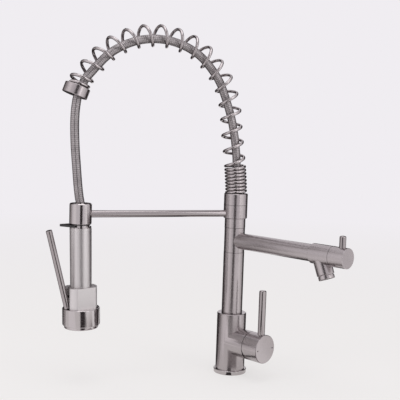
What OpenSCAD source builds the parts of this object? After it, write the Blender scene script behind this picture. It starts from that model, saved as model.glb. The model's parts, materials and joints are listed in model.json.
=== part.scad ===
// Commercial pull-down kitchen faucet with a spring arch and a side pot filler.
// +Z is up, and the origin is where the column's axis meets the worktop.
// The dock arm points to -Y, and the mixer and the pot filler point to the side.

/* [Column] */
// Outer diameter of the foot ring
foot_d = 56.2; // [54:0.2:70]
// Height of the foot ring
foot_h = 6.8; // [4:0.2:12]
// Outer diameter of the mixer body
base_d = 49.8; // [46:0.5:51]
// Height of the mixer body's top above the worktop
base_top = 104; // [98:1:140]
// Rounding of the mixer body's top rim
base_rim_r = 1.2; // [0.4:0.2:2]
// Outer diameter of the riser sleeve and the spacer
riser_d = 35.3; // [32:0.2:38]
// Wall of the riser sleeve and the spacer
riser_wall = 2; // [1.4:0.1:2.6]
// Height of the riser sleeve's top above the worktop
riser_top = 208.8; // [170:1:260]
// Height of the spacer between the pot filler and the dock hub
spacer_h = 15.6; // [10:0.2:40]
// Outer diameter of the water pipe inside the column
pipe_d = 22; // [20:0.5:23]
// Wall of the water pipe
pipe_wall = 3; // [2:0.25:4]
// Gap at each turning seam of the column
seam = 0.4; // [0.3:0.1:0.8]

/* [Mixer] */
// Angle of the mixer and the resting pot filler from +X towards +Y
side_turn = 26; // [0:1:45]
// Height of the mixer's axis above the worktop
mixer_z = 55; // [50:1:60]
// Distance from the column's axis to the seam behind the mixer cap
mixer_seam = 46.3; // [44:0.5:56]
// Outer diameter of the mixer cap
cap_d = 47.8; // [46.5:0.2:51]
// Length of the mixer cap
cap_l = 30.9; // [29:0.1:36]
// Wall of the mixer cap
cap_wall = 3; // [2:0.2:4]
// Diameter of the mixer lever
lever_d = 12; // [9:0.5:14]
// Height of the mixer lever above the cap
lever_l = 74; // [50:1:110]
// Travel of the mixer lever from shut to fully open
mixer_tilt = 15; // [8:1:17]
// Diameter of the ball-shaped trim under the cap
dome_d = 39; // [37:0.5:40]

/* [Pot filler] */
// Height of the pot filler's collar
collar_h = 41.8; // [36:0.2:60]
// Outer diameter of the pot filler's collar
collar_d = 34.9; // [32:0.2:38]
// Outer diameter of the pot filler's arm and nozzle
arm_d = 27.3; // [24:0.3:30]
// Wall of the arm and the nozzle
arm_wall = 2; // [1.4:0.1:3]
// Distance from the column's axis to the end of the arm tube
arm_reach = 168; // [120:1:172]
// Outer diameter of the pot filler's valve body and knob
valve_d = 31.8; // [30:0.2:34]
// Length of the valve body
valve_l = 37.8; // [35:0.2:44]
// Length of the knob
knob_l = 27.4; // [24:0.2:30]
// Diameter of the pin on the knob
pin_d = 10.2; // [7:0.2:12]
// Height of the pin above the knob
pin_l = 17.5; // [10:0.5:20]
// Tilt of the nozzle from straight down
nozzle_tilt = 22; // [0:1:24]
// Distance from the arm's axis to the nozzle's shoulder
nozzle_l = 33; // [30:1:45]
// Diameter of the aerator
aerator_d = 25.4; // [22:0.2:26]
// Height of the aerator below the shoulder
aerator_h = 7; // [5:0.5:10]

/* [Dock arm] */
// Outer diameter of the dock hub
hub_d = 40.2; // [39:0.2:44]
// Height of the hub's lower part, which holds the rod
hub_h = 22.6; // [20:0.2:30]
// Height of the spring seat on top of the hub
seat_h = 19.2; // [18:0.2:26]
// Distance from the column's axis to the handset's axis
dock_reach = 265; // [262:1:300]
// Diameter of the dock rod
rod_d = 11.6; // [9:0.2:13]
// Outer diameter of the dock ring
ring_d = 35.8; // [35:0.2:40]
// Height of the dock ring
ring_h = 33.3; // [28:0.1:40]

/* [Spring arch] */
// Height of the arch's centre line above the spring seat's ledge
arch_rise = 264.8; // [240:1:300]
// Diameter of the spring's wire
wire_d = 5; // [3.5:0.1:5]
// Outer diameter of the spring
spring_d = 37.4; // [36:0.2:37.4]
// Number of close turns above the hub
close_turns = 8.4; // [4:0.2:10]
// Rise of each close turn
close_pitch = 5.7; // [5.7:0.1:7]
// Number of open turns round the arch
open_turns = 16.4; // [8:0.1:17]
// Turns that lie close together on the gland
end_turns = 1; // [1:0.1:2]
// Outer diameter of the hose
hose_d = 13.6; // [10:0.2:14]
// Outer diameter of the gland collar
gland_d = 41.2; // [40:0.2:46]
// Height of the gland collar
gland_h = 16; // [14:0.5:24]
// Tilt of the gland from upright
gland_tilt = 20; // [12:1:26]

/* [Handset] */
// Turn of the handset in its dock
handset_turn = 18; // [-20:1:20]
// Tilt of the handset in its dock, foot towards the column
handset_tilt = 1.4; // [0:0.1:1.4]
// Diameter of the grip at its top
grip_top_d = 35.2; // [34:0.2:36]
// Diameter of the grip at its bottom
grip_low_d = 34.6; // [32:0.2:36]
// Length of the grip
grip_l = 95.4; // [80:0.2:130]
// Width of the valve block across its flats
block_w = 40; // [39:0.2:46]
// Ledge of the spray head outside the valve block's round sides
block_ledge = 4.6; // [3:0.05:6]
// Height of the valve block
block_h = 34; // [32:0.5:44]
// Outer diameter of the spray head
head_d = 60.4; // [56:0.1:66]
// Height of the spray head
head_h = 28; // [24:0.5:36]
// Step from the spray head in to the ring below it
bezel_step = 2.8; // [2:0.1:5]
// Height of the ring below the spray head
bezel_h = 5; // [4:0.5:7]
// Diameter of the spray lever
trigger_d = 9.9; // [8:0.1:10.4]
// Length of the spray lever's rod
trigger_l = 131; // [110:1:132]
// Lean of the spray lever away from the grip
trigger_lean = 13.5; // [12.3:0.1:13.8]
// Turn of the hold-down clip away from the spray lever
clip_turn = 38; // [20:1:45]
// Reach of the clip's tab from the handset's axis
clip_reach = 33.6; // [32:0.2:36]

/* [Hidden] */

// Smoothness, the overrun of cuts, and the clearances
$fn = 64;
cut = 1;
run_gap = 0.05;
free_gap = 0.3;
side_gap = 0.5;
lip = 1;

// Stack of the column, from the worktop up
pipe_r = pipe_d / 2;
riser_r = riser_d / 2;
base_r = base_d / 2;
hub_r = hub_d / 2;
collar_r = collar_d / 2;
collar_z = riser_top + seam;
collar_top = collar_z + collar_h;
spacer_z = collar_top + seam;
spacer_top = spacer_z + spacer_h;
hub_z = spacer_top + seam;
seat_z = hub_z + hub_h;
seat_top = seat_z + seat_h;
sleeve_bore = riser_r - riser_wall;

// Foot and mixer body
spigot_wall = 6.3;
spigot_r = foot_d / 2 - spigot_wall;
foot_step = 1.2;
gasket_h = 1.6;
gasket_w = 2.4;
gasket_r = foot_d / 2 - 2.2;
shank_r = 16.5;
shank_l = 20;
inlet_r = 5;
inlet_l = 14;
inlet_side = 9;
channel_r = 3;
outlet_r = 5;
cavity_r = 18;
cavity_x = 17;
pipe_seat_z = base_top - 24;
sleeve_seat = 10;

// Mixer cartridge, trim and cap
cap_r = cap_d / 2;
cap_gap = 1;
cap_back = mixer_seam + cap_gap;
cap_front = cap_back + cap_l;
tilt_back = 10;
tilt_x = mixer_seam + tilt_back;
cartridge_r = 17.4;
cartridge_front = mixer_seam - 4;
carrier_l = 5;
carrier_r = 12;
nut_h = 3.4;
nut_bore = 13;
stem_r = 4;
stem_hub_r = 8;
dome_wall = 1.6;
dome_front = tilt_x + 5.5;
dome_foot_r = 15.5;
cap_floor = 5.4;
lever_x = mixer_seam + 22.2;
lever_seat = 1.6;
lever_root_l = 12;
lever_root_r = lever_d / 3;
lever_boss = 1.3;
screw_x = mixer_seam + 25;
screw_r = 2;
screw_l = 5;
index_r = 1.2;
index_h = 1.5;
index_proud = 0.15;
index_place = cap_r * 0.76;

// Pot filler
arm_r = arm_d / 2;
arm_z = collar_z + collar_h / 2 - 1;
arm_spigot = 4;
valve_r = valve_d / 2;
valve_x = arm_reach;
valve_end = valve_x + valve_l;
knob_gap = 0.6;
knob_x = valve_end + knob_gap;
knob_end = knob_x + knob_l;
knob_wall = 3;
knob_depth = 10;
nozzle_x = valve_x + valve_l * 0.365;
nozzle_bore = arm_r - arm_wall;
headwork_r = 10.5;
headwork_l = 16;
spindle_r = 3.6;
pin_x = knob_x + 16.2;
pin_seat = 6;
bush_r = pipe_r + 2.5;
bush_h = 5;
o_ring_r = 0.9;
chamber_h = 8;

// Dock arm and ring
rod_r = rod_d / 2;
rod_z = hub_z + 7.6;
rod_seat = 5.5;
ring_r = ring_d / 2;
ring_z = rod_z - ring_h / 2 + 0.6;
ring_top = ring_z + ring_h;
ring_wall = 1.5;
liner_wall = 1.3;
ring_lid = 2.5;
ring_bevel = 1.2;
ring_hole_r = 9.4;
retainer_h = 4;
retainer_r = 15.6;
seat_rim = 0.9;
seat_web = 3.4;
ledge_z = seat_top - 10.6;
root_r = 8.6;
root_h = 22;

// Handset, from the dock down
neck_r = ring_r - ring_wall - liner_wall - 2 * free_gap;
neck_gap = 4.3;
grip_top = ring_z - neck_gap - 1.8;
collar_ring_h = 1.8;
neck_screw_r = 0.7;
block_top = grip_top - grip_l;
head_top = block_top - block_h;
head_low = head_top - head_h;
bezel_low = head_low - bezel_h;
neck_l = 26;
neck_bore = 8;
nut_r = neck_bore - run_gap;
nut_l = 20;
nut_z = grip_top + neck_l - nut_l + 5;
ferrule_l = 10;
ferrule_r = 7.9;
ferrule_lean = 3.6;
ferrule_z = ring_top - 9;
tilt_z = ring_z + 9;
grip_bore = grip_low_d / 2 - 2;
tube_r = 5;
tube_bore = 3.4;
head_wall = 2.6;
plate_h = 2.4;
bezel_d = head_d - 2 * bezel_step;
plate_rim = 3;
plate_r = bezel_d / 2 - plate_rim;

// Spray lever, its pivot and the plunger
trigger_r = trigger_d / 2;
block_d = head_d - 2 * block_ledge;
block_r = block_d / 2;
pivot_depth = 7.4;
pivot_y = block_r - pivot_depth;
pivot_z = head_top + 4.8;
pivot_r = 2;
// The block's round side leaves this much beside the pivot
pin_half = sqrt(pow(block_r, 2) - pow(pivot_y + pivot_r, 2)) - lip / 2;
eye_r = 4.6;
rod_offset = 7.4;
slot_gap = 0.4;
slot_w = trigger_d + 5.2;
slot_floor = 19.2;
slot_depth = block_r - slot_floor;
plunger_z = head_top + 20;
plunger_r = 2.5;
plunger_l = 14;
plunger_gap = 0.4;

// Hold-down clip
clip_h = 3.4;
clip_bore = neck_r + free_gap;
clip_loop_r = clip_bore + 1;
clip_r = ring_r + 1.5;
clip_loop_h = 1;
clip_top = ring_z - free_gap - ring_r * sin(handset_tilt);
clip_tip_r = 4;

// Line of the arch: places as shares of the dock's reach and of the arch's rise
arch_shares = [[0, 0], [0.010, 0.179], [0.0415, 0.4135], [0.068, 0.609], [0.132, 0.771],
               [0.274, 0.9225], [0.46, 0.996], [0.658, 0.990], [0.839, 0.906], [0.981, 0.7572],
               [1.030, 0.6775]];
arch_points = [for (p = arch_shares) [p[0] * dock_reach, ledge_z + p[1] * arch_rise]];
arch_last = len(arch_points) - 1;
gland_dir = [sin(gland_tilt), -cos(gland_tilt)];
gland_top = arch_points[arch_last];
gland_recess = 8.4;
gland_floor = gland_top + (gland_recess - free_gap / 2) * gland_dir;
gland_bottom = gland_top + gland_h * gland_dir;
gland_bore = 15;

// Smooth curve through points, with a given start and end direction
function curve_part(a, b, c, d, t) =
    0.5 * (2 * b + (c - a) * t + (2 * a - 5 * b + 4 * c - d) * t * t + (3 * b - 3 * c + d - a) * t * t * t);
function curve_with_ends(pts, first, last, steps) =
    let (n = len(pts), q = concat([pts[1] - 2 * norm(pts[1] - pts[0]) * first], pts,
                                  [pts[n - 2] + 2 * norm(pts[n - 1] - pts[n - 2]) * last]))
    concat([for (i = [1:n - 1], k = [0:steps - 1]) curve_part(q[i - 1], q[i], q[i + 1], q[i + 2], k / steps)],
           [pts[n - 1]]);

// Running length along a list of points
function lengths(pts) =
    [for (i = 0, s = 0; i < len(pts); s = s + (i + 1 < len(pts) ? norm(pts[i + 1] - pts[i]) : 0), i = i + 1) s];

curve_steps = 12;
arch_line = concat(curve_with_ends(arch_points, [0, 1], gland_dir, curve_steps), [gland_floor]);
arch_lengths = lengths(arch_line);
arch_l = arch_lengths[len(arch_lengths) - 1];
arch_out = [for (i = [0:len(arch_line) - 1]) [arch_lengths[i], arch_line[i][0]]];
arch_up = [for (i = [0:len(arch_line) - 1]) [arch_lengths[i], arch_line[i][1]]];
probe = hose_d / 8;
function arch_at(s) = [lookup(s, arch_out), lookup(s, arch_up)];
function arch_dir(s) =
    let (a = arch_at(max(s - probe, 0)), b = arch_at(min(s + probe, arch_l))) (b - a) / norm(b - a);
// Normal that points to the outside of the arch
function arch_normal(s) = let (t = arch_dir(s)) [-t[1], t[0]];

// Spring: a lead at each end, then turns whose rise changes smoothly
rings_per_turn = 8;
lead_bend = wire_d * 1.1;
lead_l = wire_d + lead_bend;
ease_turns = 0.5;
coil_r = (spring_d - wire_d) / 2;
all_turns = close_turns + open_turns + end_turns;
coil_l = arch_l - 2 * lead_l;
end_pitch = close_pitch * 1.35;
open_pitch = (coil_l - close_pitch * close_turns - end_pitch * end_turns) / open_turns;
start_angle = 36;
function ease(x) = let (c = min(max(x, 0), 1)) c * c * (3 - 2 * c);
function pitch_at(n) =
    close_pitch + (open_pitch - close_pitch) * ease((n - close_turns) / ease_turns + 0.5)
    + (end_pitch - open_pitch) * ease((n - close_turns - open_turns) / ease_turns + 0.5);
turn_rings = round(all_turns * rings_per_turn);
turn_step = all_turns / turn_rings;
raw_rise = [for (i = 0, s = 0; i <= turn_rings; s = s + pitch_at((i + 0.5) * turn_step) * turn_step, i = i + 1) s];
rise_fix = coil_l / raw_rise[turn_rings];
bend_angle = lead_bend / coil_r * 180 / PI;
// Pairs of running length and angle along the spring
spring_way = concat(
    [[0, start_angle - bend_angle], [wire_d, start_angle - bend_angle],
     [wire_d + lead_bend * 0.7, start_angle - bend_angle * 0.7]],
    [for (i = [0:turn_rings]) [lead_l + raw_rise[i] * rise_fix, start_angle + 360 * i * turn_step]],
    [[arch_l - wire_d - lead_bend * 0.7, start_angle + 360 * all_turns + bend_angle * 0.7],
     [arch_l - wire_d, start_angle + 360 * all_turns + bend_angle],
     [arch_l, start_angle + 360 * all_turns + bend_angle]]);

// A place at a running length, an angle and a radius from the arch's line; out is -Y
function round_arch(s, angle, r) =
    let (c = arch_at(s), n = arch_normal(s), q = c + r * cos(angle) * n) [-r * sin(angle), -q[0], q[1]];
spring_points = [for (w = spring_way) round_arch(w[0], w[1], coil_r)];
spring_inward = [for (w = spring_way) round_arch(w[0], w[1], 0) - round_arch(w[0], w[1], coil_r)];
gap_rings = rings_per_turn - 2;
spring_gap = min([for (i = [0:len(spring_points) - 1], j = [i + gap_rings:1:min(i + 3 * rings_per_turn,
                  len(spring_points) - 1)]) norm(spring_points[i] - spring_points[j])]) - wire_d;
echo("least gap of the spring to itself", spring_gap);

// Hose: how far it lies off the arch's line, as shares of its play in the spring
hose_r = hose_d / 2;
hose_play = (coil_r * cos(180 / rings_per_turn) - wire_d / 2) - hose_r - free_gap;
hose_off_shares = [[0, 0], [0.04, 0], [0.09, 0.35], [0.14, 0.75], [0.2, 0.8], [0.25, 0.45], [0.3, -0.4], [0.35, -0.95],
                   [0.45, -1], [0.75, -1], [0.9, -0.95], [1, -0.9]];
hose_rings = 30;
hose_start = 6;
arch_hose_l = arch_l - gland_recess - 14;
hose_arch_2d = [for (i = [0:hose_rings]) let (s = hose_start + (arch_hose_l - hose_start) * i / hose_rings)
                arch_at(s) + hose_play * lookup(s / arch_l, hose_off_shares) * arch_normal(s)];
// Route of the free hose from the gland down into the dock: out past the dock's reach, up from the dock ring
drop_places = [[7.6, 170.75], [10.6, 155.75], [12, 137.75], [12, 115.75], [10.6, 87.75], [8, 57.75],
                [5.4, 29.75], [3, 10.75]];
drop_route = [for (p = drop_places) [dock_reach + p[0], ring_top + p[1]]];
bush_dir = (drop_route[0] - hose_arch_2d[hose_rings]) / norm(drop_route[0] - hose_arch_2d[hose_rings]);
bush_turn = atan2(bush_dir[0], -bush_dir[1]);
ferrule_top = ferrule_l + 2 * free_gap;
ferrule_turn = handset_tilt + ferrule_lean;
drop_stop = [-sin(ferrule_turn), -cos(ferrule_turn)];
drop_end = [dock_reach, tilt_z] + (ferrule_z - tilt_z) * [sin(handset_tilt), cos(handset_tilt)]
           - ferrule_top * drop_stop;
drop_line = curve_with_ends(concat(drop_route, [drop_end]), bush_dir, drop_stop, 2);
// The free hose starts a little below the end of the hose in the arch, and both ends run straight for a lip
drop_2d = concat([drop_route[0] + 2 * free_gap * bush_dir, drop_route[0] + (2 * free_gap + lip) * bush_dir],
                 [for (i = [1:len(drop_line) - 2]) drop_line[i]], [drop_end - lip * drop_stop, drop_end]);
arch_route = concat([hose_arch_2d[0], hose_arch_2d[0] + [0, lip]], [for (i = [1:hose_rings]) hose_arch_2d[i]],
                    [drop_route[0] - lip * bush_dir, drop_route[0]]);
function in_space(p) = [0, -p[0], p[1]];

// Tube swept along points; inward holds one direction for each point, which sets where its sides begin
function tube_frame(pts, i) =
    let (a = pts[max(i - 1, 0)], b = pts[min(i + 1, len(pts) - 1)]) (b - a) / norm(b - a);
module swept_tube(pts, inward, r, sides) {
    rings = [for (i = [0:len(pts) - 1])
             let (t = tube_frame(pts, i), w = inward[i] - (inward[i] * t) * t, u = w / norm(w), v = cross(t, u))
             [for (k = [0:sides - 1]) pts[i] + r * (cos(360 * k / sides) * u + sin(360 * k / sides) * v)]];
    last = len(pts) - 1;
    faces = concat(
        [[for (k = [0:sides - 1]) k]],
        [for (i = [0:last - 1], k = [0:sides - 1]) let (n = (k + 1) % sides)
         each [[i * sides + k, (i + 1) * sides + k, (i + 1) * sides + n],
               [i * sides + k, (i + 1) * sides + n, i * sides + n]]],
        [[for (k = [sides - 1:-1:0]) last * sides + k]]);
    polyhedron([for (ring = rings) each ring], faces, convexity = 10);
}

// Round helpers
module tube(r, bore, h) {
    difference() {
        cylinder(r = r, h = h);
        translate([0, 0, -cut]) cylinder(r = bore, h = h + 2 * cut);
    }
}
module bevelled_rod(r, h, bevel) {
    rotate_extrude() polygon([[0, 0], [r, 0], [r, h - bevel], [r - bevel, h], [0, h]]);
}
module domed_rod(r, h, edge) {
    rotate_extrude() {
        square([r, h - edge]);
        translate([0, h - edge]) square([r - edge, edge]);
        translate([r - edge, h - edge]) intersection() {
            circle(r = edge);
            square(edge);
        }
    }
}
// Stands a Z-up shape on the side axis, so that +Z points away from the column
module on_side(z) {
    rotate([0, 0, side_turn]) translate([0, 0, z]) rotate([0, 90, 0]) children();
}
// Places a shape in the side plane: +X away from the column
module in_side(x, z) {
    rotate([0, 0, side_turn]) translate([x, 0, z]) children();
}
module at_dock(z) {
    translate([0, -dock_reach, z]) children();
}
// The hose's end and the handset tilt together inside the dock
module at_hose_end(z) {
    at_dock(tilt_z) rotate([handset_tilt, 0, 0]) translate([0, 0, z - tilt_z]) children();
}
module at_handset(z) {
    at_hose_end(z) rotate([0, 0, handset_turn]) children();
}

// Column
module base_gasket() {
    color("dimgray") tube(gasket_r, gasket_r - gasket_w, gasket_h);
}

module base_flange() {
    color("silver") difference() {
        rotate_extrude() difference() {
            union() {
                square([foot_d / 2, foot_h - foot_step]);
                square([foot_d / 2 - foot_step, foot_h]);
                translate([foot_d / 2 - foot_step, foot_h - foot_step]) circle(r = foot_step, $fn = 32);
            }
            translate([-cut, -cut]) square([spigot_r + cut, foot_h + 2 * cut]);
        }
        translate([0, 0, -cut]) tube(gasket_r, gasket_r - gasket_w, gasket_h + cut);
    }
}

module base_outline() {
    square([spigot_r, foot_h]);
    translate([0, foot_h]) square([base_r, base_top - foot_h - base_rim_r]);
    translate([0, base_top - base_rim_r]) square([base_r - base_rim_r, base_rim_r]);
    translate([base_r - base_rim_r, base_top - base_rim_r]) circle(r = base_rim_r, $fn = 32);
}

module base_body() {
    color("silver") difference() {
        union() {
            rotate_extrude() base_outline();
            on_side(mixer_z) cylinder(r = cap_r, h = mixer_seam);
        }
        translate([0, 0, -cut]) cylinder(r = shank_r, h = shank_l + cut);
        for (s = [-1, 1]) in_side(0, 0) translate([0, s * inlet_side, 0]) {
            translate([0, 0, shank_l - cut]) cylinder(r = inlet_r, h = inlet_l + cut);
            cylinder(r = channel_r, h = mixer_z - channel_r);
            translate([0, 0, mixer_z - channel_r]) rotate([0, 90, 0]) cylinder(r = channel_r, h = cavity_x + cut);
        }
        on_side(mixer_z) translate([0, 0, cavity_x]) cylinder(r = cavity_r, h = mixer_seam);
        on_side(mixer_z + cavity_r / 2) cylinder(r = outlet_r, h = cavity_x + cut);
        translate([0, 0, mixer_z + cavity_r / 2]) cylinder(r = outlet_r, h = base_top);
        translate([0, 0, pipe_seat_z]) cylinder(r = pipe_r, h = base_top);
        translate([0, 0, base_top - sleeve_seat]) cylinder(r = riser_r, h = base_top);
    }
}

module column_pipe() {
    color("peru") difference() {
        translate([0, 0, pipe_seat_z]) cylinder(r = pipe_r, h = seat_z + retainer_h + lip - pipe_seat_z);
        translate([0, 0, pipe_seat_z - cut]) cylinder(r = pipe_r - pipe_wall, h = ledge_z);
        for (z = o_ring_places) translate([0, 0, z - o_ring_r]) tube(pipe_r + cut, pipe_r - 2 * o_ring_r, 2 * o_ring_r);
        for (a = [0:90:270]) rotate([0, 0, a + side_turn]) translate([0, 0, arm_z]) rotate([0, 90, 0])
            cylinder(r = channel_r, h = base_r);
    }
}
o_ring_off = chamber_h / 2 + 4;
o_ring_places = [arm_z - o_ring_off, arm_z + o_ring_off, hub_z + hub_h / 2 - 2, hub_z + hub_h / 2 + 2];

module swivel_o_rings() {
    color("dimgray") for (z = o_ring_places) translate([0, 0, z])
        rotate_extrude() translate([pipe_r - o_ring_r, 0]) circle(r = o_ring_r, $fn = 24);
}

module riser_sleeve() {
    color("silver") translate([0, 0, base_top - sleeve_seat])
        tube(riser_r, sleeve_bore, riser_top - base_top + sleeve_seat);
}

module slip_rings() {
    ring_l = 3;
    color("ivory") for (z = [riser_top - ring_l + seam / 2, spacer_z - seam / 2, spacer_top - ring_l + seam / 2])
        translate([0, 0, z]) tube(sleeve_bore, pipe_r, ring_l);
}

module spacer_ring() {
    color("silver") translate([0, 0, spacer_z]) tube(riser_r, sleeve_bore, spacer_h);
}

module pipe_retainer() {
    color("peru") translate([0, 0, seat_z + lip]) difference() {
        cylinder(r = retainer_r, h = retainer_h - lip, $fn = 6);
        translate([0, 0, -cut]) cylinder(r = pipe_r, h = retainer_h + 2 * cut);
    }
}

// Mixer
module mixer_cartridge() {
    color("ivory") on_side(mixer_z) difference() {
        translate([0, 0, cavity_x]) cylinder(r = cartridge_r, h = cartridge_front - cavity_x);
        translate([0, 0, cartridge_front - carrier_l]) cylinder(r = carrier_r + run_gap, h = carrier_l + cut);
    }
}

module cartridge_nut() {
    color("peru") on_side(mixer_z) translate([0, 0, cartridge_front]) tube(cavity_r, nut_bore, nut_h);
}

module cartridge_carrier() {
    color("gray") on_side(mixer_z) translate([0, 0, cartridge_front - carrier_l]) difference() {
        cylinder(r = carrier_r, h = carrier_l + nut_h);
        translate([0, 0, carrier_l - cut]) cylinder(r = stem_hub_r + lip, h = carrier_l + nut_h);
    }
}

module trim_dome() {
    dome_r = dome_d / 2;
    color("silver") on_side(mixer_z) difference() {
        union() {
            translate([0, 0, tilt_x]) sphere(r = dome_r, $fn = 64);
            translate([0, 0, cartridge_front + nut_h]) cylinder(r = dome_foot_r, h = tilt_back);
        }
        translate([0, 0, tilt_x]) sphere(r = dome_r - dome_wall, $fn = 64);
        translate([0, 0, dome_front]) cylinder(r = base_d, h = base_d);
        translate([0, 0, mixer_seam - base_d]) tube(base_d, cavity_r - free_gap, base_d);
        translate([0, 0, cartridge_front + nut_h - base_d]) cylinder(r = base_d, h = base_d);
        cylinder(r = dome_foot_r - dome_wall, h = tilt_x);
    }
}

module cartridge_stem() {
    stem_l = cap_front - cap_floor - cartridge_front - free_gap;
    color("silver") on_side(mixer_z) translate([0, 0, cartridge_front + free_gap]) cylinder(r = stem_r, h = stem_l);
}

// Space that the cap leaves for its tilt, cut from its lower back rim
module cap_relief() {
    rotate([0, -mixer_tilt, 0]) translate([-cap_r * 4 - (tilt_back - cap_gap / 2), -cap_r * 2, -cap_r * 2])
        cube([cap_r * 4, cap_r * 4, cap_r * 4]);
}

module mixer_cap() {
    rim = 0.8;
    color("silver") difference() {
        union() {
            on_side(mixer_z) translate([0, 0, cap_back]) {
                difference() {
                    bevelled_rod(cap_r, cap_l, rim);
                    translate([0, 0, -cut]) cylinder(r = cap_r - cap_wall, h = cap_l - cap_floor + cut);
                }
                translate([0, 0, cap_l / 2]) cylinder(r = stem_hub_r, h = cap_l / 2 - lip);
            }
            cap_bosses();
        }
        on_side(mixer_z) cylinder(r = stem_r, h = cap_front - cap_floor);
        in_side(tilt_x, mixer_z) cap_relief();
        in_side(lever_x, mixer_z + cap_r - lever_seat) cylinder(r = lever_d / 2, h = cap_r);
        in_side(lever_x, mixer_z + cap_r - lever_seat - lever_root_l) cylinder(r = lever_root_r, h = cap_r);
        for (s = [-1, 1]) index_spot(s) translate([0, 0, -index_h]) cylinder(r = index_r, h = cap_l);
        in_side(screw_x, mixer_z - cap_r - cut) cylinder(r = screw_r, h = cap_r + cut);
    }
}

// Metal that holds the lever's root and the set screw, between the hub and the cap's wall
module cap_bosses() {
    root_y = lever_root_r + lever_boss;
    root_x = lever_x - root_y;
    in_side(root_x, mixer_z) translate([0, -root_y, 0])
        cube([cap_front - lip - root_x, 2 * root_y, cap_r - cap_wall / 2]);
    in_side(screw_x, mixer_z - cap_r + cap_wall / 2) cylinder(r = screw_r + lever_boss, h = cap_r - cap_wall / 2);
}

module index_spot(s) {
    on_side(mixer_z) translate([0, s * index_place, cap_front]) children();
}

module mixer_lever() {
    color("silver") in_side(lever_x, mixer_z + cap_r - lever_seat) {
        domed_rod(lever_d / 2, lever_seat + lever_l, lever_d / 5);
        translate([0, 0, -lever_root_l]) cylinder(r = lever_root_r, h = lever_root_l + lip / 2);
    }
}

module cap_set_screw() {
    color("dimgray") in_side(screw_x, mixer_z - cap_r + lip) difference() {
        cylinder(r = screw_r, h = cap_r - stem_r - lip);
        translate([0, 0, -cut]) cylinder(r = screw_r / 2, h = cap_wall + cut, $fn = 6);
    }
}

module index_stud() {
    translate([0, 0, -index_h]) cylinder(r = index_r, h = index_h + index_proud);
}
module hot_index() {
    color("darkred") index_spot(-1) index_stud();
}
module cold_index() {
    color("darkblue") index_spot(1) index_stud();
}

// Pot filler
module filler_collar() {
    color("silver") difference() {
        translate([0, 0, collar_z]) cylinder(r = collar_r, h = collar_h);
        translate([0, 0, collar_z - cut]) cylinder(r = pipe_r + free_gap, h = collar_h + 2 * cut);
        translate([0, 0, collar_z - cut]) cylinder(r = bush_r, h = bush_h + cut);
        translate([0, 0, collar_top - bush_h]) cylinder(r = bush_r, h = bush_h + cut);
        translate([0, 0, arm_z - chamber_h / 2]) cylinder(r = bush_r, h = chamber_h);
        on_side(arm_z) cylinder(r = chamber_h / 2, h = collar_r + cut);
    }
}

module bush_pair(z, h) {
    for (b = [z, z + h - bush_h]) translate([0, 0, b]) tube(bush_r - run_gap, pipe_r + run_gap, bush_h);
}
module collar_bushes() {
    color("ivory") bush_pair(collar_z, collar_h);
}

module filler_arm() {
    color("silver") difference() {
        on_side(arm_z) cylinder(r = arm_r, h = arm_reach + arm_spigot);
        on_side(arm_z) cylinder(r = arm_r - arm_wall, h = arm_reach + arm_spigot + cut);
        translate([0, 0, collar_z]) cylinder(r = collar_r, h = collar_h);
    }
}

// Places a shape on the nozzle's axis, with +Z down the nozzle
module down_nozzle() {
    in_side(nozzle_x, arm_z) rotate([0, 180 - nozzle_tilt, 0]) children();
}

module filler_valve_body() {
    rim = 0.8;
    color("silver") difference() {
        union() {
            on_side(arm_z) translate([0, 0, valve_x]) rotate_extrude()
                polygon([[0, 0], [valve_r - rim, 0], [valve_r, rim], [valve_r, valve_l], [0, valve_l]]);
            down_nozzle() bevelled_rod(arm_r, nozzle_l, rim);
        }
        on_side(arm_z) translate([0, 0, valve_x - cut]) cylinder(r = arm_r, h = arm_spigot + cut);
        on_side(arm_z) translate([0, 0, valve_x]) cylinder(r = headwork_r, h = valve_l + cut);
        down_nozzle() cylinder(r = nozzle_bore - 1, h = nozzle_l + cut);
    }
}

module filler_headwork() {
    color("peru") on_side(arm_z) translate([0, 0, valve_end - headwork_l]) tube(headwork_r, spindle_r + run_gap, headwork_l);
}

module aerator_housing() {
    groove = 0.7;
    color("silver") down_nozzle() translate([0, 0, nozzle_l]) difference() {
        union() {
            translate([0, 0, -aerator_h]) cylinder(r = nozzle_bore - 1, h = aerator_h);
            cylinder(r = aerator_d / 2 - groove, h = aerator_h);
            translate([0, 0, groove * 2]) bevelled_rod(aerator_d / 2, aerator_h - groove * 2, groove);
        }
        translate([0, 0, -aerator_h - cut]) cylinder(r = nozzle_bore - 3, h = 3 * aerator_h);
    }
}

module aerator_insert() {
    hole = 0.9;
    color("dimgray") down_nozzle() translate([0, 0, nozzle_l - aerator_h / 2]) difference() {
        cylinder(r = nozzle_bore - 3, h = aerator_h * 1.3);
        for (ring = [1:2], k = [0:ring * 6 - 1]) rotate([0, 0, k * 60 / ring])
            translate([ring * (nozzle_bore - 3) / 2.8, 0, -cut]) cylinder(r = hole, h = aerator_h * 2, $fn = 13);
        translate([0, 0, -cut]) cylinder(r = hole, h = aerator_h * 2, $fn = 13);
    }
}

module filler_spindle() {
    color("peru") on_side(arm_z) translate([0, 0, valve_end - headwork_l + lip])
        cylinder(r = spindle_r, h = headwork_l - lip + knob_gap + knob_l - knob_wall);
}

module filler_knob() {
    rim = 0.6;
    color("silver") difference() {
        on_side(arm_z) translate([0, 0, knob_x]) difference() {
            bevelled_rod(valve_r, knob_l, rim);
            difference() {
                translate([0, 0, -cut]) cylinder(r = valve_r - knob_wall, h = knob_depth + cut);
                translate([0, 0, knob_depth / 2]) cylinder(r = 2 * spindle_r, h = knob_depth);
            }
        }
        filler_spindle();
        in_side(pin_x, arm_z + valve_r - pin_seat) cylinder(r = pin_d / 2, h = valve_r);
    }
}

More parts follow.
